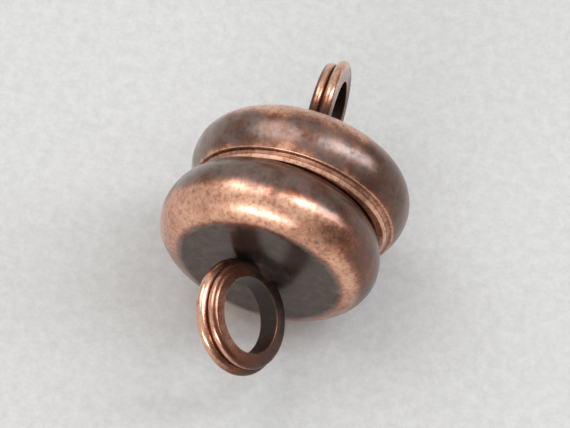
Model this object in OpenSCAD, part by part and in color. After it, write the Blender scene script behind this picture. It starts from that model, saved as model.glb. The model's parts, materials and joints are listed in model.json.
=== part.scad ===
// Round magnetic clasp for a necklace or bracelet, lying on its side.
// Two cast halves meet face to face. Each is a round cup with a flat end face, a rounded
// shoulder and a thread loop, and holds a disc magnet flush in its mouth.
// Each half's axis runs along Y, the front half towards -Y, and Z = 0 is the surface they lie on.

/* [Body] */
// Largest diameter of the round body, at the crown of each half
body_d = 11; // [10:0.25:16]
// Length of one half, from the middle of the seam to its flat end face
half_len = 3.5; // [3:0.1:6]
// Radius of the rounded shoulder between the crown and the end face
shoulder_r = 1.7; // [1:0.05:2.2]
// Radius of the gentle arc from the crown down to the seam groove
barrel_r = 2.5; // [2.2:0.1:6]

/* [Seam groove] */
// Distance between the two halves' mouths
seam_gap = 0.06; // [0.02:0.01:0.2]
// How far the two flat mouths have slipped sideways on each other, as the clasp lies
slip = 0.5; // [0:0.1:1]
// Distance from the middle of the seam to the sharp edge of the groove
groove_half_w = 0.45; // [0.3:0.05:0.7]
// Radial height of the steep part of the groove's flank, next to the sharp edge
flank_step = 0.2; // [0.1:0.05:0.3]
// Axial run of that steep part
flank_run = 0.07; // [0.02:0.01:0.15]
// Diameter of the flat lip that meets the other half
lip_d = 9.5; // [9:0.05:9.6]

/* [Magnets] */
// Diameter of each disc magnet
magnet_d = 8; // [5:0.5:8]
// Thickness of each disc magnet
magnet_t = 2; // [1:0.1:2.2]
// Chamfer on the magnets' edges
magnet_chamfer = 0.15; // [0.05:0.05:0.3]
// Radial clearance between a magnet and its cup
magnet_clearance = 0.05; // [0.02:0.01:0.1]
// Depth of a magnet's face behind the lip
magnet_set_back = 0.03; // [0.01:0.01:0.2]
// Thickness of the glue under a magnet
glue_t = 0.04; // [0.02:0.01:0.1]

/* [Loops] */
// Outer diameter of each thread loop, over the larger of its two ridges
loop_d = 5.7; // [4.8:0.1:6]
// How much lower the smaller ridge stands than the larger one
loop_step = 0.25; // [0:0.01:0.4]
// Diameter of the hole for a thread or a jump ring
loop_hole_d = 3.7; // [2.5:0.1:3.8]
// Width of the loop's band
loop_w = 1.1; // [0.8:0.05:1.8]
// Depth of the groove between the ridges, below the top of the smaller one
loop_groove = 0.14; // [0.05:0.01:0.18]
// Depth to which the loop's circle sinks into the end face
loop_sink = 0.28; // [0.2:0.02:0.5]
// Height of the small cone of metal at the root of the loop
root_h = 0.4; // [0.1:0.05:0.5]
// Diameter of that cone on the end face
root_d = 2.5; // [2:0.1:3]
// Diameter of that cone at its top
root_top_d = 1.4; // [1:0.1:1.8]
// Turn of the front loop about the clasp's axis, from upright
front_turn = 39; // [-180:1:180]
// Turn of the back loop about the clasp's axis, from upright, with its larger ridge to the right
back_turn = 180; // [-180:1:180]

/* [Hidden] */
$fn = 96;

body_r = body_d / 2;
lip_r = lip_d / 2;
mouth_z = seam_gap / 2;
crown_z = half_len - shoulder_r;
// Radius of the sharp edge, where the barrel's arc meets the groove
edge_r = body_r - barrel_r + sqrt(barrel_r * barrel_r - pow(crown_z - groove_half_w, 2));
cup_r = magnet_d / 2 + magnet_clearance;
magnet_z = mouth_z + magnet_set_back;
cup_z = magnet_z + magnet_t + glue_t;
loop_r = loop_d / 2;
// The smaller ridge's own radius in the loop
loop_low_r = loop_r - loop_step;
// Each ridge round the loop's band is a quarter of its width in radius
ridge_r = loop_w / 4;
loop_z = half_len + loop_r - loop_sink;
// How far cutting shapes run past what they cut
cut = 1;

// Half section of one half's outside: radius along X, distance from the seam along Y
module outer_section() {
    // Round the crown and the shoulder, then the flat end face
    intersection() {
        translate([body_r - shoulder_r, crown_z])
            circle(shoulder_r);
        translate([0, crown_z])
            square([body_r, shoulder_r]);
    }
    translate([0, crown_z])
        square([body_r - shoulder_r, shoulder_r]);
    // Gentle arc from the crown towards the seam
    intersection() {
        translate([body_r - barrel_r, crown_z])
            circle(barrel_r);
        translate([0, mouth_z])
            square([body_r, crown_z - mouth_z]);
    }
    translate([0, mouth_z])
        square([body_r - barrel_r, crown_z - mouth_z]);
}

// What the seam groove takes off: a steep step under the sharp edge, then a slope to the lip
module groove_section() {
    polygon([
        [lip_r, mouth_z - cut],
        [lip_r, mouth_z],
        [edge_r - flank_step, groove_half_w - flank_run],
        [edge_r, groove_half_w],
        [body_r + cut, groove_half_w],
        [body_r + cut, mouth_z - cut]
    ]);
}

// One half without its loop: its axis along Z, its mouth at the seam and its end face up
module cup() {
    rotate_extrude()
        difference() {
            outer_section();
            groove_section();
            square([cup_r, cup_z]);
        }
}

// The loop's disc before it is drilled, its axis along Z: a larger ridge below, a smaller one
// above, and a groove between them
module loop_disc() {
    rotate_extrude() {
        translate([loop_r - ridge_r, -ridge_r])
            circle(ridge_r);
        translate([0, -loop_w / 2])
            square([loop_r - ridge_r, loop_w / 2]);
        translate([loop_low_r - ridge_r, ridge_r])
            circle(ridge_r);
        square([loop_low_r - ridge_r, loop_w / 2]);
        translate([0, -ridge_r])
            square([loop_low_r - loop_groove, 2 * ridge_r]);
    }
}

// Small cone of metal that joins the loop to the end face
module loop_root() {
    translate([0, 0, half_len - loop_sink])
        cylinder(h = loop_sink, d = root_d);
    translate([0, 0, half_len])
        cylinder(h = root_h, d1 = root_d, d2 = root_top_d);
}

// One casting: cup, root and loop, with the loop turned about the axis and drilled
module casting(turn) {
    difference() {
        union() {
            cup();
            loop_root();
            translate([0, 0, loop_z])
                rotate([0, 90, turn])
                    loop_disc();
        }
        translate([0, 0, loop_z])
            rotate([0, 90, turn])
                cylinder(h = root_d + cut, d = loop_hole_d, center = true);
    }
}

// Disc magnet with chamfered edges, its face just behind the lip
module magnet() {
    magnet_r = magnet_d / 2;
    translate([0, 0, magnet_z])
        rotate_extrude()
            polygon([
                [0, 0],
                [magnet_r - magnet_chamfer, 0],
                [magnet_r, magnet_chamfer],
                [magnet_r, magnet_t - magnet_chamfer],
                [magnet_r - magnet_chamfer, magnet_t],
                [0, magnet_t]
            ]);
}

// Lays a piece on its side, its end face towards -Y for the front half and +Y for the back one
module to_front() {
    translate([-slip / 2, 0, body_r])
        rotate([90, 0, 0])
            children();
}

module to_back() {
    translate([slip / 2, 0, body_r])
        rotate([-90, 0, 0])
            children();
}

module front_half() {
    color("#b5765a")
        to_front()
            casting(front_turn);
}

module front_magnet() {
    color("silver")
        to_front()
            magnet();
}

module back_half() {
    color("#a3684f")
        to_back()
            casting(-back_turn);
}

module back_magnet() {
    color("silver")
        to_back()
            magnet();
}

front_half();
front_magnet();
back_half();
back_magnet();
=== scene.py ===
# %% [markdown]
# # A round magnetic clasp in antique copper
#
# The clasp closes a necklace or a bracelet. It is two equal castings that meet face to face, each
# with a disc magnet in its mouth and a loop for the thread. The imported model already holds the
# true sizes, so this lesson reads them from it and spends its effort on what the eye sees: the
# softened edges, the V-shaped seam, and above all the worn copper over dark patina.

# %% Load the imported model
import json
import math
import bmesh
import bpy
import numpy as np
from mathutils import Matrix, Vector


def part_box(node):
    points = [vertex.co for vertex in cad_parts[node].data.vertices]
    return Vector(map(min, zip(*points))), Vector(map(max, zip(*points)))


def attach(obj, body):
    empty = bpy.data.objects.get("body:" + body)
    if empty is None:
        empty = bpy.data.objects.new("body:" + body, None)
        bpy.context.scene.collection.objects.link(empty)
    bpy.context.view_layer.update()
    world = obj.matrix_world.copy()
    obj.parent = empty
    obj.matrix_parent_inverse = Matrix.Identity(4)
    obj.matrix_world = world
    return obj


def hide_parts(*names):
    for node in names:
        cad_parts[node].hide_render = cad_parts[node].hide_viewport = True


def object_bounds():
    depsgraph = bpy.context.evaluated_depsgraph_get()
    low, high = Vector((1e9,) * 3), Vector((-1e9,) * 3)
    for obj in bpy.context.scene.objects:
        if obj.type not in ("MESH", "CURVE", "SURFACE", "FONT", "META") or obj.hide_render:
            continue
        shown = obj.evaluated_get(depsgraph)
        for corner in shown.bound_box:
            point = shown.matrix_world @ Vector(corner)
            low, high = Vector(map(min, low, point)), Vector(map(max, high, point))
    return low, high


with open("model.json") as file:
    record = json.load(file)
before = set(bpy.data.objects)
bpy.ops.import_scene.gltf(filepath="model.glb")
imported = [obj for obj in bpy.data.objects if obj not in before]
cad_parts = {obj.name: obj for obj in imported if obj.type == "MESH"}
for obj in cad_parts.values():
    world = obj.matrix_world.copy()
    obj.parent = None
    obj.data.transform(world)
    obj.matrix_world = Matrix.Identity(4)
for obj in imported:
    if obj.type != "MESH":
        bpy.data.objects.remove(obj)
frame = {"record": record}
cad_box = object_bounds()
print("CAD box in mm:", [[round(1000 * c, 2) for c in corner] for corner in cad_box])

# %% [markdown]
# ## The sizes that everything follows
#
# Lengths are in millimetres while a shape is worked out, because a clasp of 18 mm is easier to
# think about that way, and they become metres when a mesh is made. Where the axis runs, how thick
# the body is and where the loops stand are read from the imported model. The small forms of the
# casting, such as the radius of its shoulder, are named here once.

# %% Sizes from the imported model
MM = 0.001


def in_mm(point):
    """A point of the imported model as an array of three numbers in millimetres."""
    return np.array(point, float) / MM


mounts = {mount["name"]: mount for mount in frame["record"]["mounts"]}
front_low, front_high = [in_mm(corner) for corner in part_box("front_half")]
magnet_low, magnet_high = [in_mm(corner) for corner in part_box("front_magnet")]

body_r = (front_high[2] - front_low[2]) / 2
loop_middle = abs(in_mm(mounts["front_loop_hole"]["pos_m"])[1])
loop_hole_r = mounts["front_loop_hole"]["dims"]["r_mm"]
loop_w = mounts["front_loop_hole"]["dims"]["length_mm"]
loop_r = abs(front_low[1]) - loop_middle
magnet_r = (magnet_high[0] - magnet_low[0]) / 2
magnet_t = magnet_high[1] - magnet_low[1]
magnet_set_back = -magnet_high[1]
print("radii in mm: body", round(body_r, 3), "loop", round(loop_r, 3), "magnet", round(magnet_r, 3))

# %% The casting's own small forms
half_len = 3.5  # from the seam to the flat end face
mouth = 0.03  # from the seam to the flat lip
lip_r = 4.75  # outer radius of that lip
groove_half_w = 0.45  # from the seam to the groove's sharp edge
flank_step = 0.2  # height of the steep part under the sharp edge
flank_run = 0.07  # length of that part along the axis
barrel_r = 2.5  # radius of the gentle arc from the sharp edge up to the crown
shoulder_r = 1.7  # radius of the rounding from the crown down to the end face
root_r = 1.25  # radius of the loop's root on the end face
root_top_r = 0.66  # and at its top
root_h = 0.4  # height of the root
loop_step = 0.25  # how much lower the loop's smaller ridge is
loop_groove = 0.14  # depth of the groove under the smaller ridge
cup_gap = 0.05  # clearance round the magnet
glue_t = 0.04  # glue under the magnet

# The crown is where the two arcs meet. How far the barrel's arc has fallen at the groove's sharp
# edge follows from Pythagoras.
crown = half_len - shoulder_r
edge_r = body_r - barrel_r + math.sqrt(barrel_r**2 - (crown - groove_half_w) ** 2)
loop_low_r = loop_r - loop_step
loop_floor_r = loop_low_r - loop_groove
print("crown at", round(crown, 2), "mm, sharp edge at radius", round(edge_r, 3), "mm")

# %% [markdown]
# ## Where each half lies
#
# The two castings are the same part. One looks towards the camera and one away from it, they have
# slipped a little sideways on each other, and their loops are turned differently. So a half is
# described by a point on its axis, the direction from the seam to its loop, and the direction of
# the hole through the loop. The loop's two ridges aren't equal, and the larger one points along
# the hole on one half and against it on the other. One function then serves both halves.

# %% The two halves' places


def place_of(mount_name, larger):
    """Where a half lies: its axis at the seam, two directions, and the side of the larger ridge."""
    mount = mounts[mount_name]
    loop_centre = in_mm(mount["pos_m"])
    return {
        "seam": np.array([loop_centre[0], 0.0, loop_centre[2]]),
        "outward": np.array([0.0, math.copysign(1.0, loop_centre[1]), 0.0]),
        "hole": np.array(mount["axis"], float),
        "larger": larger,
    }


front_place = place_of("front_loop_hole", larger=-1)
back_place = place_of("back_loop_hole", larger=1)
print("front axis", front_place["seam"], "back axis", back_place["seam"])

# %% [markdown]
# ## Paths with worn corners
#
# Every corner of a tumbled casting is a little round, and those tiny radii are what catch the
# light along an edge. A bevel modifier could add them, but here each section is drawn with sharp
# corners first and then smoothed along its own length, as tumbling does: sharp corners lose the
# most and long arcs keep their shape. The smoothed path is then thinned again, with close steps
# where it turns and long ones where it is straight, so that the mesh spends its faces well.

# %% Draw, wear and thin a section


def arc(centre, radius, start, end, count=24):
    """Points at centre + radius * (cos t, sin t), for t from start to end in degrees."""
    t = np.radians(np.linspace(start, end, count))
    return np.stack([centre[0] + radius * np.cos(t), centre[1] + radius * np.sin(t)], -1)


def running(costs):
    """The running total of the steps' costs, from 0 at the first point."""
    return np.concatenate([[0.0], np.cumsum(costs)])


def sampled(path, total, wanted):
    """The points of a path where a running total along it reaches the wanted values."""
    return np.stack([np.interp(wanted, total, path[:, k]) for k in range(2)], -1)


def worn(path, radius, closed=False):
    """The path with its corners rounded.

    Every point becomes the mean of its neighbours, weighted by a bell curve of this radius that
    reaches three radii to each side. There are four points to a radius.
    """
    steps = 4
    span = 3 * steps
    fine = radius / steps
    total = running(np.linalg.norm(np.diff(path, axis=0), axis=1))
    even = sampled(path, total, np.linspace(0, total[-1], int(total[-1] / fine)))
    bell = np.exp(-0.5 * (np.arange(-span, span + 1) / steps) ** 2)
    bell /= bell.sum()
    if closed:
        padded = np.concatenate([even[-span - 1:-1], even, even[1:span + 1]])
    else:
        padded = np.pad(even, ((span, span), (0, 0)), mode="reflect", reflect_type="odd")
    rounded = np.stack([np.convolve(padded[:, k], bell, mode="valid") for k in range(2)], -1)
    if closed:
        rounded[-1] = rounded[0]
    return rounded


def thinned(path, longest, sharpest):
    """The path with its points spread so that each step costs the same.

    A step's cost is its length over the longest one plus its turn in degrees over the sharpest.
    """
    step = np.diff(path, axis=0)
    heading = np.unwrap(np.arctan2(step[:, 1], step[:, 0]))
    turn = np.abs(np.gradient(heading))
    total = running(np.linalg.norm(step, axis=1) / longest + np.degrees(turn) / sharpest)
    return sampled(path, total, np.linspace(0, total[-1], int(total[-1]) + 2))


# %% [markdown]
# ## The cup's section
#
# One half is turned round its axis, so its whole form is one line from the middle of the magnet's
# seat, out over the mouth, the groove, the crown and the shoulder, to the middle of the end face.
# The last stretch is the metal that joins the loop to the body. It narrows fast and rises slowly
# at first, which makes it hollow: two powers of the same number from 0 to 1 do that.

# %% The section of the cup, as radius and distance from the seam


def cup_section():
    """Pairs (radius, distance from the seam), from the seat of the magnet round to the end face."""
    cup_r = magnet_r + cup_gap
    seat = magnet_set_back + magnet_t + glue_t
    edge_turn = -math.degrees(math.asin((crown - groove_half_w) / barrel_r))
    inside = [(0.0, seat), (cup_r, seat), (cup_r, mouth), (lip_r, mouth)]
    groove = [(edge_r - flank_step, groove_half_w - flank_run), (edge_r, groove_half_w)]
    barrel = arc((body_r - barrel_r, crown), barrel_r, edge_turn, 0)
    shoulder = arc((body_r - shoulder_r, crown), shoulder_r, 0, 90, 36)
    rise = np.linspace(0, 1, 12)
    root_radius = root_r + (root_top_r - root_r) * rise**0.45
    root = np.stack([root_radius, half_len + root_h * rise**1.8], -1)
    return np.concatenate([inside, groove, barrel, shoulder, root, [(0.0, half_len + root_h)]])


cup_line = thinned(worn(cup_section(), radius=0.024), longest=0.24, sharpest=5.5)
cup_line[0, 0] = cup_line[-1, 0] = 0.0
print("points in the cup's section:", len(cup_line))

# %% [markdown]
# ## The loop's section
#
# The loop is a flat ring with two rounded ridges round its rim, like two wires laid side by side,
# one a little prouder than the other. Its section is a closed line: over the larger ridge, into the
# groove, over the smaller ridge, down the flat side, across the hole and back up. It is carried
# round a circle to make the ring.

# %% The section of the loop, as radius in the ring and place across it


def loop_section(larger):
    """Pairs (radius in the ring, place across it), closed, with the larger ridge on this side.

    Each ridge is an arc as wide as half the loop. The larger one ends at 50 degrees, and the smaller
    one begins where its arc comes up from the groove's floor.
    """
    ridge_r = loop_w / 4
    large_end = 50
    floor_place = 0.02
    small_start = -math.degrees(math.acos((loop_floor_r - loop_low_r + ridge_r) / ridge_r))
    large = arc((loop_r - ridge_r, -ridge_r), ridge_r, -90, large_end)
    groove_floor = [(loop_floor_r, floor_place)]
    small = arc((loop_low_r - ridge_r, ridge_r), ridge_r, small_start, 90)
    sides = [(loop_hole_r, loop_w / 2), (loop_hole_r, -loop_w / 2), (loop_r - ridge_r, -loop_w / 2)]
    return np.concatenate([large, groove_floor, small, sides]) * (1, -larger)


loop_lines = {
    side: thinned(worn(loop_section(side), radius=0.022, closed=True), longest=0.12, sharpest=9)
    for side in (-1, 1)
}
print("points in the loop's section:", len(loop_lines[1]))

# %% [markdown]
# ## Surfaces from sections
#
# A surface is a grid of points in two directions: along the section and round the axis. Whole
# arrays are worked out at once, so there is no loop over vertices. The faces are index arithmetic
# on the same grid. A small unevenness is taken off the radius, because a cast and tumbled cup is
# never perfectly round, and without it the long highlights look drawn with a ruler.

# %% Slow waves that make the cup a little uneven
rng = np.random.default_rng(11)
WAVES = 14
wave_round = rng.integers(1, 9, WAVES)  # waves to a turn
wave_along = rng.uniform(-1.6, 1.6, WAVES)  # radians to a millimetre
wave_phase = rng.uniform(0, 2 * math.pi, WAVES)


def unevenness(angle, distance, shift):
    """From 0 to 1: a half plus the mean of cos(k * angle + f * distance + phase) over all waves."""
    total = sum(
        np.cos(k * angle + f * distance + p + shift)
        for k, f, p in zip(wave_round, wave_along, wave_phase)
    )
    return np.clip(0.5 + total / WAVES, 0, 1)


# %% Grids of points and faces


def grid_faces(rows, columns, wrap_rows):
    """Four corners for each cell of a grid whose columns wrap round, and whose rows do too if asked."""
    last = rows if wrap_rows else rows - 1
    i, j = np.meshgrid(np.arange(last), np.arange(columns), indexing="ij")
    up, right = (i + 1) % rows, (j + 1) % columns
    corners = [i * columns + j, i * columns + right, up * columns + right, up * columns + j]
    return np.stack(corners, -1).reshape(-1, 4)


def make_mesh(name, points, faces):
    """A mesh from an array of points in millimetres and a list of faces, with its normals outwards."""
    mesh = bpy.data.meshes.new(name)
    mesh.from_pydata((points * MM).tolist(), [], faces)
    mesh.validate()
    bm = bmesh.new()
    bm.from_mesh(mesh)
    bmesh.ops.recalc_face_normals(bm, faces=bm.faces)
    bm.to_mesh(mesh)
    bm.free()
    piece = bpy.data.objects.new(name, mesh)
    bpy.context.scene.collection.objects.link(piece)
    return piece


def angles(segments):
    """Angles round a full circle, in the second direction of a grid of points."""
    return np.linspace(0, 2 * math.pi, segments, endpoint=False)[None, :, None]


def turned(name, line, place, segments, uneven=0.0, shift=0.0):
    """A line turned round a half's axis.

    A point is seam + distance * outward + radius * (cos t across + sin t up). The unevenness takes
    up to `uneven` millimetres off the body's radius. The two ends of the line lie on the axis and
    close as single points.
    """
    across = np.array([1.0, 0.0, 0.0])
    up = np.array([0.0, 0.0, 1.0])
    t = angles(segments)
    radius = line[1:-1, 0][:, None, None]
    distance = line[1:-1, 1][:, None, None]
    radius = radius * (1 - uneven / body_r * unevenness(t, distance, shift))
    body = place["seam"] + distance * place["outward"] + radius * (np.cos(t) * across + np.sin(t) * up)
    ends = place["seam"] + line[[0, -1], 1][:, None] * place["outward"]
    points = np.concatenate([body.reshape(-1, 3), ends])
    rows = len(line) - 2
    faces = grid_faces(rows, segments, wrap_rows=False).tolist()
    j = np.arange(segments)
    first, last = rows * segments, rows * segments + 1
    top = (rows - 1) * segments
    faces += np.stack([np.full(segments, first), (j + 1) % segments, j], -1).tolist()
    faces += np.stack([np.full(segments, last), top + j, top + (j + 1) % segments], -1).tolist()
    return make_mesh(name, points, faces)


def ring(name, line, place, segments):
    """A closed section carried round the loop's circle.

    A point is centre + radius * (cos t outward + sin t sideways) + across * hole.
    """
    hole, outward = place["hole"], place["outward"]
    sideways = np.cross(hole, outward)
    centre = place["seam"] + loop_middle * outward
    t = angles(segments)
    radius = line[:-1, 0][:, None, None]
    across = line[:-1, 1][:, None, None]
    points = centre + radius * (np.cos(t) * outward + np.sin(t) * sideways) + across * hole
    faces = grid_faces(len(line) - 1, segments, wrap_rows=True).tolist()
    return make_mesh(name, points.reshape(-1, 3), faces)


# %% [markdown]
# ## One casting from cup and loop
#
# On the real clasp the loop and the cup are cast in one go, so there is no seam between them and
# nothing hidden inside the metal. Two meshes pushed into each other would look right but keep
# faces inside, so they are joined with a Boolean union and the result is kept as a plain mesh.

# %% Join the cup and the loop
CREASE = math.radians(38)


def joined(piece, other):
    """The union of two closed pieces, as the first one's own mesh. The second is removed."""
    cut = piece.modifiers.new("join", "BOOLEAN")
    cut.operation = "UNION"
    cut.solver = "MANIFOLD"
    cut.object = other
    graph = bpy.context.evaluated_depsgraph_get()
    mesh = bpy.data.meshes.new_from_object(piece.evaluated_get(graph))
    piece.modifiers.clear()
    piece.data = mesh
    bpy.data.objects.remove(other)
    return piece


def smooth(piece):
    """Smooth shading all over, with a sharp line where two faces meet at more than the crease angle."""
    piece.data.shade_smooth()
    piece.data.set_sharp_from_angle(angle=CREASE)
    return piece


def casting(name, place, shift):
    """One half of the clasp: the turned cup with its ring joined on."""
    cup = turned(name, cup_line, place, segments=288, uneven=0.03, shift=shift)
    loop = ring(name + "_loop", loop_lines[place["larger"]], place, segments=150)
    piece = smooth(joined(cup, loop))
    print(name, "faces:", len(piece.data.polygons))
    return piece


front_casting = casting("front_casting", front_place, shift=0.0)
back_casting = casting("back_casting", back_place, shift=2.1)

# %% [markdown]
# ## The disc magnets
#
# Each magnet is a small nickel-plated disc glued flush into its cup. It shows only when the clasp
# is pulled open. Its edge is ground to a narrow chamfer, drawn as two corners and then worn.

# %% Make the magnets
magnet_chamfer = 0.15


def magnet(name, place):
    """A disc with chamfered edges, its face just behind the lip of its half."""
    face, back = magnet_set_back, magnet_set_back + magnet_t
    section = np.array([
        (0.0, face),
        (magnet_r - magnet_chamfer, face),
        (magnet_r, face + magnet_chamfer),
        (magnet_r, back - magnet_chamfer),
        (magnet_r - magnet_chamfer, back),
        (0.0, back),
    ])
    line = thinned(worn(section, radius=0.02), longest=0.3, sharpest=8)
    line[0, 0] = line[-1, 0] = 0.0
    return smooth(turned(name, line, place, segments=144))


front_disc = magnet("front_disc_magnet", front_place)
back_disc = magnet("back_disc_magnet", back_place)
print("magnets:", round(2 * magnet_r, 2), "by", round(magnet_t, 2), "mm")

# %% [markdown]
# ## What moves with what
#
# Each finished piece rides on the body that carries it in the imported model, and stands in for the
# plain solid there. The back magnet is a body of its own in the chain of joints: it slides, and the
# back half turns on it.

# %% Hang each piece on its body
for piece, body, node, slot in (
    (front_casting, "front", "front_half", "antique_copper"),
    (back_casting, "back", "back_half", "antique_copper"),
    (front_disc, "front", "front_magnet", "nickel_plate"),
    (back_disc, "carrier", "back_magnet", "nickel_plate"),
):
    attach(piece, body)
    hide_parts(node)
    print(piece.name, "rides on", body)

# %% [markdown]
# ## Shader maths as plain expressions
#
# A material here is arithmetic on the place of a point: how far it is from the seam, how far from
# the axis. Wiring that by hand takes dozens of Math nodes. A small class wraps a node's output and
# overloads the operators, so that `1 - mask * 0.5` adds the two nodes by itself.

# %% A number that varies over a surface


class Field:
    """One output of a node. Its operators add Math nodes to the same material."""

    def __init__(self, finish, socket):
        self.finish = finish
        self.socket = socket

    def math(self, operation, first, second=0.0):
        """Adds one Math node on two fields or numbers."""
        return self.finish.node("Math", {"operation": operation}, {0: first, 1: second})

    def __add__(self, other):
        return self.math("ADD", self, other)

    def __radd__(self, other):
        return self.math("ADD", other, self)

    def __sub__(self, other):
        return self.math("SUBTRACT", self, other)

    def __rsub__(self, other):
        return self.math("SUBTRACT", other, self)

    def __mul__(self, other):
        return self.math("MULTIPLY", self, other)

    def __rmul__(self, other):
        return self.math("MULTIPLY", other, self)

    def __truediv__(self, other):
        return self.math("DIVIDE", self, other)

    def __abs__(self):
        return self.math("ABSOLUTE", self)

    def root(self):
        """The square root."""
        return self.math("SQRT", self)

    def larger(self, other):
        """The larger of the two at each point."""
        return self.math("MAXIMUM", self, other)

    def clamped(self):
        """The same, kept between 0 and 1."""
        return self.math("MINIMUM", self.larger(0.0), 1.0)


# %% [markdown]
# ## A material and its helpers
#
# `Finish` holds one material, and the world later on, because both are a tree of nodes that ends in
# one shader. Its `node` method adds any node from a type, its settings and its inputs. The helpers
# below it are the few things that the finishes are built from: a soft step, a band with soft sides,
# grain, a bump and a blend of two colours.

# %% The material class


class Finish:
    """The nodes of a material or a world in the making, with its shader."""

    def __init__(self, owner, shader="Principled BSDF"):
        owner.use_nodes = True
        self.owner = owner
        self.tree = owner.node_tree
        self.shader = self.tree.nodes[shader]

    def node(self, kind, settings=None, inputs=None, output=0):
        """Adds a node of this kind, sets its settings first and then its inputs, and wraps one output."""
        made = self.tree.nodes.new("ShaderNode" + kind)
        for key, value in (settings or {}).items():
            if key == "stops":
                self.set_stops(made.color_ramp, value)
            else:
                setattr(made, key, value)
        for key, value in (inputs or {}).items():
            self.feed(made.inputs[key], value)
        return Field(self, made.outputs[output])

    def feed(self, socket, value):
        """Links a field to a socket, or sets the socket's own value."""
        if isinstance(value, Field):
            self.tree.links.new(value.socket, socket)
        else:
            socket.default_value = value

    def set_stops(self, ramp, stops):
        """Gives a colour ramp these pairs of place and colour."""
        while len(ramp.elements) < len(stops):
            ramp.elements.new(1.0)
        for element, (position, shade) in zip(ramp.elements, stops):
            element.position = position
            element.color = shade

    def rise(self, value, low, high):
        """0 below low, 1 above high, and a smooth step between."""
        return self.node("MapRange", {"interpolation_type": "SMOOTHSTEP"},
                         {"Value": value, "From Min": low, "From Max": high})

    def band(self, value, low, high, soft):
        """1 between low and high, falling to 0 within soft on each side."""
        return self.rise(value, low - soft, low + soft) * (1 - self.rise(value, high - soft, high + soft))

    def grain(self, vector, scale, detail, roughness):
        """Soft random grain from 0 to 1, with this many grains to a unit."""
        return self.node("TexNoise", {}, {"Vector": vector, "Scale": scale, "Detail": detail,
                                          "Roughness": roughness})

    def vector(self, operation, first, second, output=0):
        """Vector Math on two vectors."""
        return self.node("VectorMath", {"operation": operation}, {0: first, 1: second}, output)

    def bump(self, strength, depth, height):
        """A normal bent by this height, where a height of 1 stands for this depth in millimetres."""
        return self.node("Bump", {}, {"Strength": strength, "Distance": depth * MM, "Height": height})

    def blend(self, factor, first, second):
        """The first colour where factor is 0, and the second where it is 1."""
        inputs = {"Factor": factor, "A": first, "B": second}
        return self.node("Mix", {"data_type": "RGBA"}, inputs, "Result")

    def set(self, name, value):
        """Sets or feeds one of the shader's sockets."""
        self.feed(self.shader.inputs[name], value)


def colour(red, green, blue):
    """A colour as a screen shows it, from 0 to 255 a channel, in the linear values that a shader takes.
    """
    screen = np.array([red, green, blue]) / 255
    linear = np.where(screen <= 0.04045, screen / 12.92, ((screen + 0.055) / 1.055) ** 2.4)
    return (*linear.tolist(), 1.0)


# %% [markdown]
# ## Antique copper
#
# The castings are copper plated, blackened all over, tumbled, and then lacquered. Tumbling rubs the
# black off where the parts knock together, on the shoulders, the ridges and the edges, and leaves it
# where they don't reach: in the loop's groove and its hole, on the crowns and on the flat ends. So
# the finish is one number, how worn a point is, which picks a colour from dark patina to bright
# copper. It is worked out from the place on the casting, in a few short steps.
#
# The first step finds that place. All lengths are in millimetres, and `turn` is the angle round the
# shoulder's own arc: 0 degrees on the crown, less towards the seam, and 90 where the flat end begins.
#
# In the cells below, two numbers say where something begins and where it is full, with a smooth step
# between them. Three numbers are a band: where it begins, where it ends and how soft its sides are.

# %% Where a point is on its half
# The right flank is painted darker and redder: painted shade and a painted reflection of dark
# surroundings on that side.
PAINTED_SHADE_RIGHT = (2.4, 4.8)  # to the right of the axis
PAINTED_SHADE_END = (38, 60)  # turn
LOOP_FROM = (half_len + 0.02, half_len + 0.1)  # from the seam


def half_coordinates(finish, place):
    """Fields that say where a point is: along the half, round it, and in its loop's ring.

    The Mapping node turns metres into millimetres and puts the half's own axis at zero.
    """
    centred = finish.node("Mapping", {}, {
        "Vector": finish.node("TexCoord", output="Object"),
        "Scale": (1 / MM,) * 3,
        "Location": (-place["seam"] * np.array([1.0, 0.0, 1.0])).tolist(),
    })
    x, y, z = [finish.node("SeparateXYZ", {}, {"Vector": centred}, axis) for axis in "XYZ"]
    away = abs(y)
    radius = (x * x + z * z).root()
    turn = away.math("ARCTAN2", away - crown, radius - (body_r - shoulder_r)) * (180 / math.pi)
    side_axis = np.cross(place["hole"], place["outward"])
    across = finish.vector("DOT_PRODUCT", centred, place["hole"].tolist(), "Value")
    sideways = finish.vector("DOT_PRODUCT", centred, side_axis.tolist(), "Value")
    reach = away - loop_middle
    return {
        "centred": centred,
        "x": x,
        "z": z,
        "away": away,
        "radius": radius,
        "turn": turn,
        "across": across,
        "ring_radius": (reach * reach + sideways * sideways).root(),
        # the right flank, where painted shade and painted reflection go
        "flank": finish.rise(x, *PAINTED_SHADE_RIGHT) * (1 - finish.rise(turn, *PAINTED_SHADE_END)),
        "on_loop": finish.rise(away, *LOOP_FROM),
    }


# %% [markdown]
# ## Grain
#
# Nothing on a tumbled part has a clean border. Five kinds of grain, from slow clouds to a fine
# speckle, move the borders and mottle what lies between them. Each is given by three numbers: how
# many grains there are to a millimetre, how many finer levels it has, and how strong those are.
#
# The streaks are grain on coordinates that are wrapped round the body, as if each point lay on one
# cylinder, and squeezed along it. A squeezed coordinate makes a stretched grain, so the streaks run
# along the half.

# %% Random grains of a cast and tumbled surface
GRAINS = {
    "cloud": (0.42, 2.0, 0.5),
    "redness": (0.9, 4.0, 0.6),
    "mottle": (1.7, 4.0, 0.65),
    "speckle": (4.4, 4.0, 0.7),
}
STREAKS = (6.0, 3.0, 0.6)
STREAK_SQUEEZE = 0.3
NEAREST_R = 0.3  # never divides by less, so the axis itself does no harm


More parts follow.
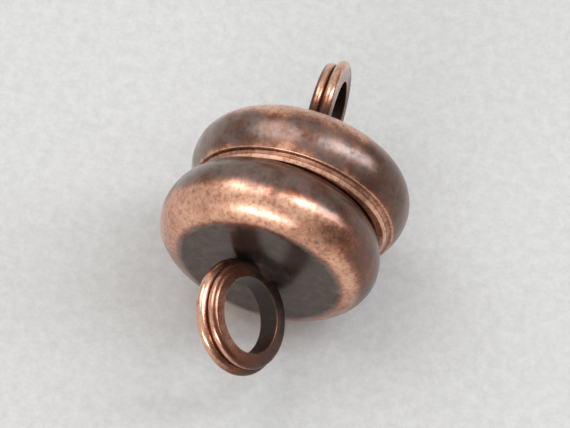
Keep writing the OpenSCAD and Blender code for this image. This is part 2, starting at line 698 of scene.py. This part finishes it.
def casting_grains(finish, at, shift):
    """Each kind of grain, from 0 to 1. The shift makes the two halves differ."""
    moved = finish.vector("ADD", at["centred"], (shift, shift, shift))
    off_axis = at["radius"].larger(NEAREST_R)
    around = finish.node("CombineXYZ", {}, {
        "X": at["x"] / off_axis * body_r + shift,
        "Y": at["away"] * STREAK_SQUEEZE,
        "Z": at["z"] / off_axis * body_r,
    })
    grains = {kind: finish.grain(moved, *numbers) for kind, numbers in GRAINS.items()}
    grains["streaks"] = finish.grain(around, *STREAKS)
    return grains


def sway(grains, **amounts):
    """The sum of these grains, each moved to lie round zero and scaled by its amount."""
    parts = [(grains[kind] - 0.5) * amount for kind, amount in amounts.items()]
    return sum(parts[1:], parts[0])


# %% [markdown]
# ## How worn each half is
#
# The two halves are the same casting, but they came out of the tumbler differently. The front one is
# bare over its whole shoulder and dark at the seam. The back one is bright along the seam's edge and
# becomes bare farther down its shoulder.
#
# `bare_from` is the turn, in degrees, at the middle of the bare shoulder's border, and `soft` is how
# far that border spreads to each side. `edge` is the groove's sharp edge, `slope` its slope and
# `crown` the patina beyond it, each with how worn it is, from 0 to 1. `root_lean` says how much
# nearer the root the copper reaches on the upper side of the loop.

# %% How tumbling rubbed the two halves
front_rubbing = {
    "bare_from": 1.0,
    "soft": 18.0,
    "edge": 0.3,
    "slope": 0.3,
    "crown": 0.26,
    "root_lean": 0.35,
}
back_rubbing = {
    "bare_from": 12.0,
    "soft": 24.0,
    "edge": 0.85,
    "slope": 0.95,
    "crown": 0.32,
    "root_lean": -0.1,
}

# %% How worn the shoulder is
SHOULDER_WEAR = 0.86
SHOULDER_END = (70, 91)  # turn
# Height above the axis where the painted shade on the shoulder's lower side ends
LOWER_SHADE_Z = (-2.6, 0.8)  # above the axis


def shoulder_wear(finish, at, grains, rubbing):
    """The bare shoulder: ragged towards the crown and firmer at the flat end.

    The right flank keeps 0.4 of it as painted shade, and the lower side keeps 0.75 as painted shade.
    """
    start, soft = rubbing["bare_from"], rubbing["soft"]
    ragged = at["turn"] + sway(grains, cloud=30, streaks=4, mottle=5)
    begun = finish.rise(ragged, start - soft, start + soft)
    ended = finish.rise(at["turn"] + sway(grains, mottle=14, cloud=8), *SHOULDER_END)
    # The lower side keeps less bare copper: painted shade.
    shaded_lower_side = 1 - finish.rise(at["z"], *LOWER_SHADE_Z)
    bare = begun * (1 - ended) * (1 - 0.6 * at["flank"]) * (1 - 0.25 * shaded_lower_side)
    return bare * SHOULDER_WEAR


# %% How worn the groove is
LIP_FROM = (lip_r - 0.5, lip_r - 0.3)  # radius: the mouth inside it stays dark
RUB_PATCHES = (0.35, 0.65)  # of the clouds
STEEP_SHARE = 0.7

# From the seam
steep_from = 0.55 * groove_half_w
SEAM_SLOPE = (-0.2, steep_from, 0.06)
STEEP_PART = (steep_from, groove_half_w - 0.02, 0.04)
SHARP_EDGE = (groove_half_w - 0.04, groove_half_w + 0.05, 0.03)
RUB_FROM = (groove_half_w - 0.05, groove_half_w + 0.02)
RUB_END = (groove_half_w - 0.1, groove_half_w + 0.65)


def groove_wear(finish, at, grains, rubbing):
    """The groove's slope, its steep part, its sharp edge, and a rubbed band beside that edge."""
    away = at["away"]
    slope = finish.band(away, *SEAM_SLOPE) * finish.rise(at["radius"], *LIP_FROM)
    steep = finish.band(away, *STEEP_PART)
    sharp = finish.band(away, *SHARP_EDGE)
    rubbed = 1 - finish.rise(away - sway(grains, cloud=0.9), *RUB_END)
    rubbed = rubbed * finish.rise(away, *RUB_FROM)
    rubbed = rubbed * (0.6 + 0.4 * finish.rise(grains["cloud"], *RUB_PATCHES))
    in_groove = slope.larger(steep * STEEP_SHARE) * rubbing["slope"]
    return in_groove.larger(rubbed.larger(sharp) * rubbing["edge"])


# %% How worn the cup is
DARK_END = (76, 90)  # turn, where the patina deepens towards the flat end
END_FACE = (half_len - 0.3, half_len - 0.1)  # from the seam
ROOT_SHADE = (1.1, 2.3)  # radius


def cup_wear(finish, at, grains, rubbing):
    """Bare copper on the shoulder and at the groove, patina between, and black round the loop's root."""
    bare = shoulder_wear(finish, at, grains, rubbing).larger(groove_wear(finish, at, grains, rubbing))
    patina = rubbing["crown"] * (1 - 0.6 * finish.rise(at["turn"], *DARK_END))
    off_root = finish.rise(at["radius"], *ROOT_SHADE)
    before_end_face = 1 - finish.rise(at["away"], *END_FACE)
    return bare.larger(patina) * off_root.larger(before_end_face)


# %% How worn the loop is
RIDGE_WEAR, SIDE_WEAR, OUTSIDE_WEAR = 0.95, 0.58, 0.3
LOOP_BARE = (half_len + 0.6, half_len + 2.4)  # from the seam
# Height above the axis where the painted shade on the loop's lower side ends
LOOP_SHADE_Z = (-1.8, 1.2)  # above the axis

# Radius in the ring
RIDGES = (loop_floor_r + 0.03, loop_floor_r + 0.14)
OUTSIDE = (loop_hole_r + 0.04, loop_hole_r + 0.1)
SIDES = (loop_hole_r, loop_hole_r + 0.05)
HOLE_EDGE = (loop_hole_r - 0.02, loop_hole_r + 0.04, 0.02)

# From the middle of the ring's width to its flat sides
SIDE_FACE = (loop_w / 2 - 0.07, loop_w / 2 - 0.02)
EDGE_FACE = (loop_w / 2 - 0.1, loop_w / 2 - 0.03)


def loop_wear(finish, at, rubbing):
    """Bare copper on both ridges and less on the flat sides.

    It is black in the groove, in the hole and at the root, and less worn on the lower side, which is
    painted shade.
    """
    across, ring_radius = abs(at["across"]), at["ring_radius"]
    ridge = finish.rise(ring_radius, *RIDGES)
    side = finish.rise(across, *SIDE_FACE) * finish.rise(ring_radius, *SIDES)
    outside = finish.rise(ring_radius, *OUTSIDE)
    hole_edge = finish.band(ring_radius, *HOLE_EDGE) * finish.rise(across, *EDGE_FACE)
    off_root = finish.rise(at["away"] + at["z"] * rubbing["root_lean"], *LOOP_BARE)
    # The lower side of the loop is painted darker: painted shade.
    painted_lit_top = finish.rise(at["z"], *LOOP_SHADE_Z)
    worn_most = (ridge * RIDGE_WEAR).larger(side * SIDE_WEAR).larger(outside * OUTSIDE_WEAR)
    worn_most = worn_most * (0.15 + 0.85 * painted_lit_top)
    return worn_most.larger(hole_edge * (0.5 + 0.4 * painted_lit_top)) * (0.1 + 0.9 * off_root)


# %% Grain, pits and specks in the wear
PITS = (0.46, 0.74)  # of the speckle
SPECKS = (0.36, 0.64)  # of the same
PIT_LOSS = 0.26  # the share of the wear that a pit takes away
SPECK_SPREAD = 0.09  # from the most worn speck to the least worn one


def mottled_wear(finish, at, grains, flat_end, rubbing):
    """How worn a point is, from 0 to 1, with the grain on top of the large pattern.

    The flat end and the loop are smoother than the round of the cup, so they get less of it.
    """
    on_loop = at["on_loop"]
    on_round = 1 - flat_end.larger(on_loop)
    wear = cup_wear(finish, at, grains, rubbing) * (1 - on_loop)
    wear = wear + loop_wear(finish, at, rubbing) * on_loop
    wear = wear + sway(grains, mottle=0.44) * (1 - 0.5 * flat_end)
    wear = wear + sway(grains, cloud=0.6, streaks=0.25) * on_round
    pits = finish.rise(grains["speckle"], *PITS)
    specks = finish.rise(grains["speckle"], *SPECKS) - 0.5
    specks = specks * (1 - 0.85 * flat_end) * (1 - 0.6 * on_loop)
    return (wear - pits * wear * PIT_LOSS - specks * SPECK_SPREAD).clamped()


# %% [markdown]
# ## From wear to colour
#
# The patina has two tones, a grey-brown and a red-brown, which change places in slow patches. Both
# end in the same bright copper. Each row of the table below holds how worn the copper is, then its
# colour in the one tone and in the other. A colour ramp is made for each tone, and a Mix node
# chooses between them. The black is thickest as soot round the loop's root.
#
# Where the copper is bare it is a true metal, and where the patina covers it, it is only half so.
# The lacquer is a coat over all of it, fuller on bare copper than on the powdery patina. The
# speckle and the mottle also bend the normal a little, as the skin of a casting does.

# %% The colours of patina and copper
PATINA = (
    (0.0, (42, 31, 25), (38, 24, 17)),
    (0.2, (94, 72, 61), (86, 54, 39)),
    (0.36, (124, 90, 74), (116, 70, 49)),
    (0.55, (150, 99, 75), (152, 92, 64)),
    (0.8, (207, 146, 115), (207, 146, 115)),
    (1.0, (234, 182, 150), (234, 182, 150)),
)
GREY_BROWN, RED_BROWN = 1, 2


def patina_tone(finish, wear, tone):
    """The colour of one tone of patina where it is this worn."""
    stops = [(row[0], colour(*row[tone])) for row in PATINA]
    return finish.node("ValToRGB", {"stops": stops}, {"Fac": wear})


# %% The antique copper finish
FLAT_END = (84, 90)  # turn
RED_PATCHES = (0.44, 0.66)  # of the redness grain
SOOT_R = (1.2, 2.0)  # radius
SOOT_BAND = (half_len - 0.2, half_len + 0.5, 0.1)  # from the seam

# How worn
RED_UNTIL = (0.45, 0.75)
METAL_FROM = (0.1, 0.4)
LACQUER_FROM = (0.05, 0.3)
POLISHED_FROM = (0.15, 0.7)


def antique_copper(name, place, rubbing, shift):
    """Copper over patina on one half, coloured by how worn each point is."""
    finish = Finish(bpy.data.materials.new(name))
    at = half_coordinates(finish, place)
    grains = casting_grains(finish, at, shift)
    on_loop = at["on_loop"]
    on_cup = 1 - on_loop
    flat_end = finish.rise(at["turn"], *FLAT_END) * on_cup
    wear = mottled_wear(finish, at, grains, flat_end, rubbing)

    # The red-brown tone: in patches, on the right flank as painted shade and painted reflection, and
    # where a loop isn't worn bare
    redness = finish.rise(grains["redness"], *RED_PATCHES).larger(at["flank"] * 0.9) * (1 - flat_end)
    redness = redness.larger(on_loop * (1 - finish.rise(wear, *RED_UNTIL)))
    grey_brown = patina_tone(finish, wear, GREY_BROWN)
    red_brown = patina_tone(finish, wear, RED_BROWN)
    finish.set("Base Color", finish.blend(redness, grey_brown, red_brown))

    # Half a metal under patina and soot, and a whole one where it is bare
    soot = (1 - finish.rise(at["radius"], *SOOT_R)) * finish.band(at["away"], *SOOT_BAND)
    bare = finish.rise(wear, *METAL_FROM) * (1 - soot)
    finish.set("Metallic", 0.5 + 0.5 * bare)

    # The flat end is smoother than the round of the cup, and a loop is smoothest where it is bare
    cup_rough = (0.36 + sway(grains, mottle=0.1)) * (1 - 0.4 * flat_end)
    loop_rough = 0.4 - 0.18 * finish.rise(wear, *POLISHED_FROM)
    finish.set("Roughness", (cup_rough * on_cup + loop_rough * on_loop).larger(soot * 0.7))

    # Lacquer over the copper, thin on patina, thinner on the red-brown and none on soot
    lacquer = 0.2 + 0.8 * finish.rise(wear - 0.25 * on_loop, *LACQUER_FROM)
    lacquer = lacquer * (1 - 0.55 * redness)
    finish.set("Coat Weight", lacquer * (1 - soot))
    finish.set("Coat Roughness", 0.24)
    finish.set("Coat IOR", 1.6)

    height = (grains["speckle"] * 0.5 + grains["mottle"] * 0.3) * (1 - 0.85 * on_loop)
    finish.set("Normal", finish.bump(0.5, 0.02, height))
    print(name, "nodes:", len(finish.tree.nodes))
    return finish.owner


for piece, name, place, rubbing, shift in (
    (front_casting, "antique_copper_front", front_place, front_rubbing, 0.0),
    (back_casting, "antique_copper_back", back_place, back_rubbing, 7.3),
):
    piece.data.materials.clear()
    piece.data.materials.append(antique_copper(name, place, rubbing, shift))

# %% [markdown]
# ## Nickel on the magnets
#
# Bright nickel is a smooth warm-grey metal. Slow stains make it a little duller in places, and fine
# scratches from being pressed together and slid apart break its reflections up. Object coordinates
# are in metres here, so the grains are counted to a metre: 2500 of them are 2.5 to a millimetre.

# %% The nickel finish
SCRATCHES = (2500.0, 4.0, 0.7)
STAINS = (500.0, 3.0, 0.6)


def nickel_plate(name):
    """Bright nickel with faint stains and a fine grain of scratches."""
    finish = Finish(bpy.data.materials.new(name))
    coordinates = finish.node("TexCoord", output="Object")
    scratches = finish.grain(coordinates, *SCRATCHES)
    clean = finish.rise(finish.grain(coordinates, *STAINS), 0.3, 0.7)
    finish.set("Base Color", finish.blend(clean, colour(188, 183, 176), colour(226, 223, 218)))
    finish.set("Metallic", 1.0)
    finish.set("Roughness", 0.3 - 0.12 * clean + 0.16 * (scratches - 0.5))
    finish.set("Normal", finish.bump(0.15, 0.01, scratches))
    return finish.owner


nickel = nickel_plate("nickel_plate")
for disc in (front_disc, back_disc):
    disc.data.materials.append(nickel)
print("nickel on", front_disc.name, "and", back_disc.name)

# %% [markdown]
# ## The floor
#
# The clasp lies on a pale grey sheet. One large square is enough for it. Two close greys in a fine
# grain keep it from looking like an empty background, and it is rough, so it mirrors nothing.

# %% Make the floor
floor_half = 1500.0
PAPER_GRAIN = (1800.0, 6.0, 0.85)
corners = np.array([(-1, -1, 0), (1, -1, 0), (1, 1, 0), (-1, 1, 0)]) * floor_half
floor = make_mesh("floor", corners, [(0, 1, 2, 3)])
paper = Finish(bpy.data.materials.new("pale_paper"))
flecks = paper.grain(paper.node("TexCoord", output="Object"), *PAPER_GRAIN)
flecks = paper.rise(flecks, 0.3, 0.7)
paper.set("Base Color", paper.blend(flecks, colour(188, 184, 179), colour(204, 200, 195)))
paper.set("Roughness", 0.75)
floor.data.materials.append(paper.owner)
print("floor:", round(2 * floor_half * MM, 1), "m square")

# %% [markdown]
# ## Light
#
# Metal shows what is around it, so the lamps are placed where their reflections have to lie on the
# curves. A wide low one in front draws the bright streak on the near shoulder. A large one high at
# the left and a tall narrow one at the right give the soft greys on the crowns. All three face the
# clasp and are a little blue, as daylight is. Their sizes and distance are in metres.
#
# The rest of the room is the world: a bright ceiling over a darker horizon. Both are dimmer on the
# right, and the horizon is brighter at the front left and at the back.

# %% Lamps
LAMP_DISTANCE = 0.9
lo, hi = cad_box
middle = (lo + hi) / 2


def direction(azimuth, elevation):
    """A unit vector: azimuth 0 points along -Y, towards the front, and turns towards +X."""
    a, e = math.radians(azimuth), math.radians(elevation)
    return Vector((math.sin(a) * math.cos(e), -math.cos(a) * math.cos(e), math.sin(e)))


def soft_lamp(name, azimuth, elevation, width, height, radiance, tint):
    """A rectangular lamp that faces the clasp. Its power is radiance times pi times its area."""
    data = bpy.data.lights.new(name, "AREA")
    data.shape = "RECTANGLE"
    data.size, data.size_y = width, height
    data.energy = radiance * math.pi * width * height
    data.color = tint
    lamp = bpy.data.objects.new(name, data)
    bpy.context.scene.collection.objects.link(lamp)
    towards = direction(azimuth, elevation)
    lamp.location = middle + towards * LAMP_DISTANCE
    lamp.rotation_euler = towards.to_track_quat("Z", "Y").to_euler()
    print(name, "power:", round(data.energy, 2), "W")


soft_lamp("left_lamp", azimuth=-106, elevation=60, width=0.5, height=0.68,
          radiance=2.8, tint=(0.88, 0.94, 1.0))
soft_lamp("right_lamp", azimuth=110, elevation=46, width=0.28, height=0.95,
          radiance=6.8, tint=(0.82, 0.9, 1.0))
soft_lamp("front_lamp", azimuth=-8, elevation=20, width=0.54, height=0.16,
          radiance=11.0, tint=(0.92, 0.95, 1.0))

# %% The room round the clasp
CEILING = 0.73
HORIZON = 0.22
OVERHEAD = (0.0, 0.65)  # the sine of the angle above the horizon
world = bpy.data.worlds.new("studio")
bpy.context.scene.world = world
room = Finish(world, "Background")
looking = room.node("TexCoord", output="Generated")
overhead = room.rise(room.node("SeparateXYZ", {}, {"Vector": looking}, "Z"), *OVERHEAD)


def towards_side(azimuth, elevation, low, high):
    """0 to 1 as the direction nears this one, between two cosines."""
    near = room.vector("DOT_PRODUCT", looking, tuple(direction(azimuth, elevation)), "Value")
    return room.rise(near, low, high)


at_back = towards_side(-160, 10, 0.4, 0.9)
at_front_left = towards_side(-55, 10, 0.5, 0.95)
low_right = towards_side(100, 0, 0.1, 0.7)
high_right = towards_side(100, 15, 0.4, 0.95)
low_light = HORIZON + 0.35 * at_back + 0.45 * at_front_left - 0.18 * low_right
high_light = CEILING - 0.4 * high_right
room.set("Color", (1.0, 1.0, 1.0, 1.0))
room.set("Strength", high_light * overhead + low_light * (1 - overhead))
print("ceiling", CEILING, "horizon", HORIZON)

# %% [markdown]
# ## Camera
#
# The camera looks down at 59 degrees from a little to the right of the clasp's own axis, from
# 174 mm away. Its focal length follows from how large a millimetre has to be in the picture.

# %% Camera
view_azimuth = 17.1
view_elevation = 58.8
view_distance = 0.174
image_width = 570
scale_px_per_mm = 20.54
sensor_width = 36.0
camera_data = bpy.data.cameras.new("camera")
camera_data.sensor_width = sensor_width
camera_data.lens = scale_px_per_mm * view_distance / MM * sensor_width / image_width
camera_data.clip_start, camera_data.clip_end = 0.005, 10.0
camera = bpy.data.objects.new("camera", camera_data)
bpy.context.scene.collection.objects.link(camera)
towards = direction(view_azimuth, view_elevation)
camera.location = middle + towards * view_distance
camera.rotation_mode = "QUATERNION"
camera.rotation_quaternion = towards.to_track_quat("Z", "Y")
bpy.context.scene.camera = camera
bpy.context.scene.view_settings.view_transform = "Standard"
print("lens:", round(camera_data.lens, 1), "mm")
